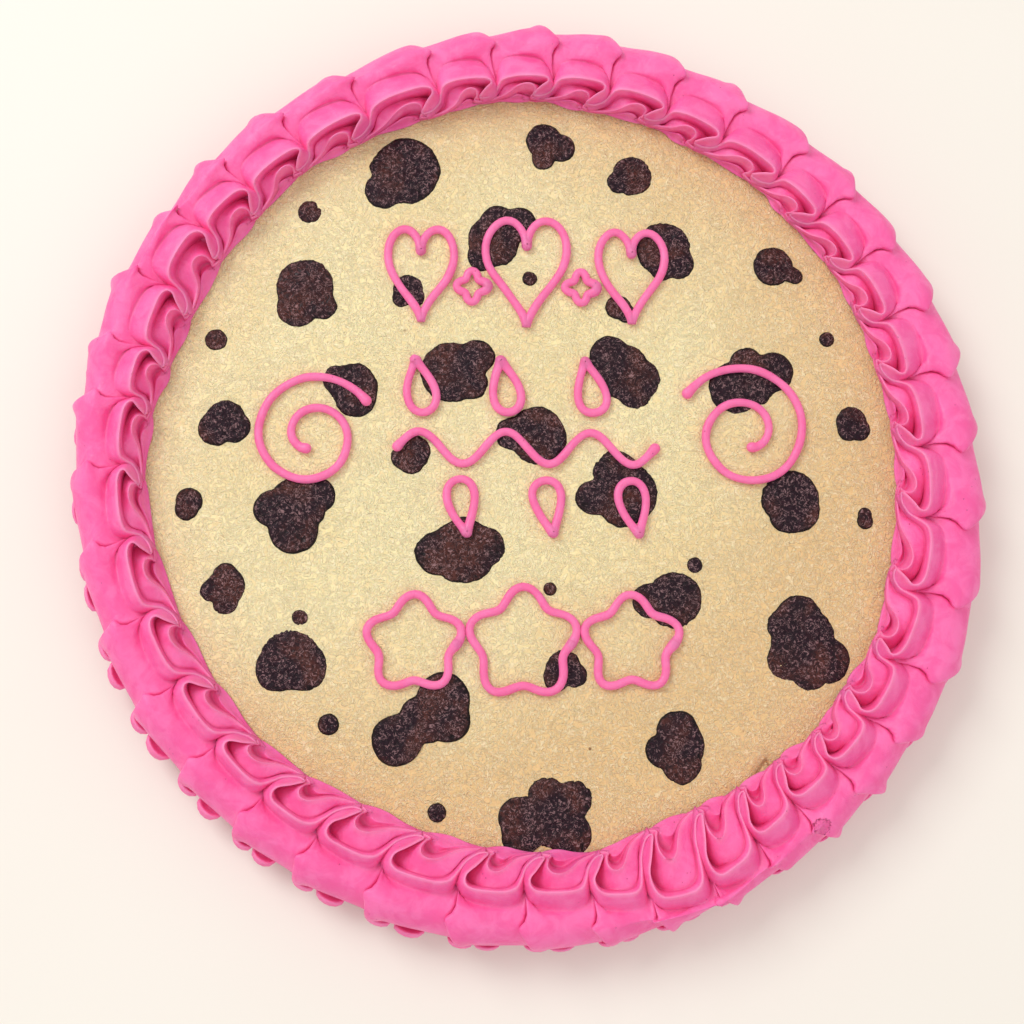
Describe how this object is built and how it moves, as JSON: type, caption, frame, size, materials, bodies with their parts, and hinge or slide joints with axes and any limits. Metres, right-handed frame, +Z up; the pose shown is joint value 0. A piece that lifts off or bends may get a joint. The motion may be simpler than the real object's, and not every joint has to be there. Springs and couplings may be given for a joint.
{
  "type": "cookie cake",
  "caption": "Round chocolate chip cookie cake with a ruffled pink icing border around the rim and a piped pink icing ornament on top.",
  "frame": {"origin": "centre of the cookie's flat underside, on the surface it rests on", "axes": "+Z up out of the decorated top, +Y towards the top row of the ornament, +X to the right of the ornament"},
  "size_m": [0.2578, 0.2625, 0.0252],
  "materials": {
    "baked_crumb": null,
    "pink_icing": null,
    "dark_chocolate": null
  },
  "bodies": {
    "root": {"cookie": "baked_crumb", "border": "pink_icing", "heart_1": "pink_icing", "heart_2": "pink_icing", "heart_3": "pink_icing", "bud_1": "pink_icing", "bud_2": "pink_icing", "garland": "pink_icing", "leaf_1": "pink_icing", "leaf_2": "pink_icing", "leaf_3": "pink_icing", "leaf_4": "pink_icing", "leaf_5": "pink_icing", "leaf_6": "pink_icing", "scroll_left": "pink_icing", "scroll_right": "pink_icing", "flower_1": "pink_icing", "flower_2": "pink_icing", "flower_3": "pink_icing", "chip_01": "dark_chocolate", "chip_02": "dark_chocolate", "chip_03": "dark_chocolate", "chip_04": "dark_chocolate", "chip_05": "dark_chocolate", "chip_06": "dark_chocolate", "chip_07": "dark_chocolate", "chip_08": "dark_chocolate", "chip_09": "dark_chocolate", "chip_10": "dark_chocolate", "chip_11": "dark_chocolate", "chip_12": "dark_chocolate", "chip_13": "dark_chocolate", "chip_14": "dark_chocolate", "chip_15": "dark_chocolate", "chip_16": "dark_chocolate", "chip_17": "dark_chocolate", "chip_18": "dark_chocolate", "chip_19": "dark_chocolate", "chip_20": "dark_chocolate", "chip_21": "dark_chocolate", "chip_22": "dark_chocolate", "chip_23": "dark_chocolate", "chip_24": "dark_chocolate", "chip_25": "dark_chocolate", "chip_26": "dark_chocolate", "chip_27": "dark_chocolate", "chip_28": "dark_chocolate", "chip_29": "dark_chocolate", "chip_30": "dark_chocolate", "chip_31": "dark_chocolate", "chip_32": "dark_chocolate", "chip_33": "dark_chocolate", "chip_34": "dark_chocolate", "chip_35": "dark_chocolate", "chip_36": "dark_chocolate", "chip_37": "dark_chocolate", "chip_38": "dark_chocolate", "chip_39": "dark_chocolate", "chip_40": "dark_chocolate"}
  },
  "joints": []
}
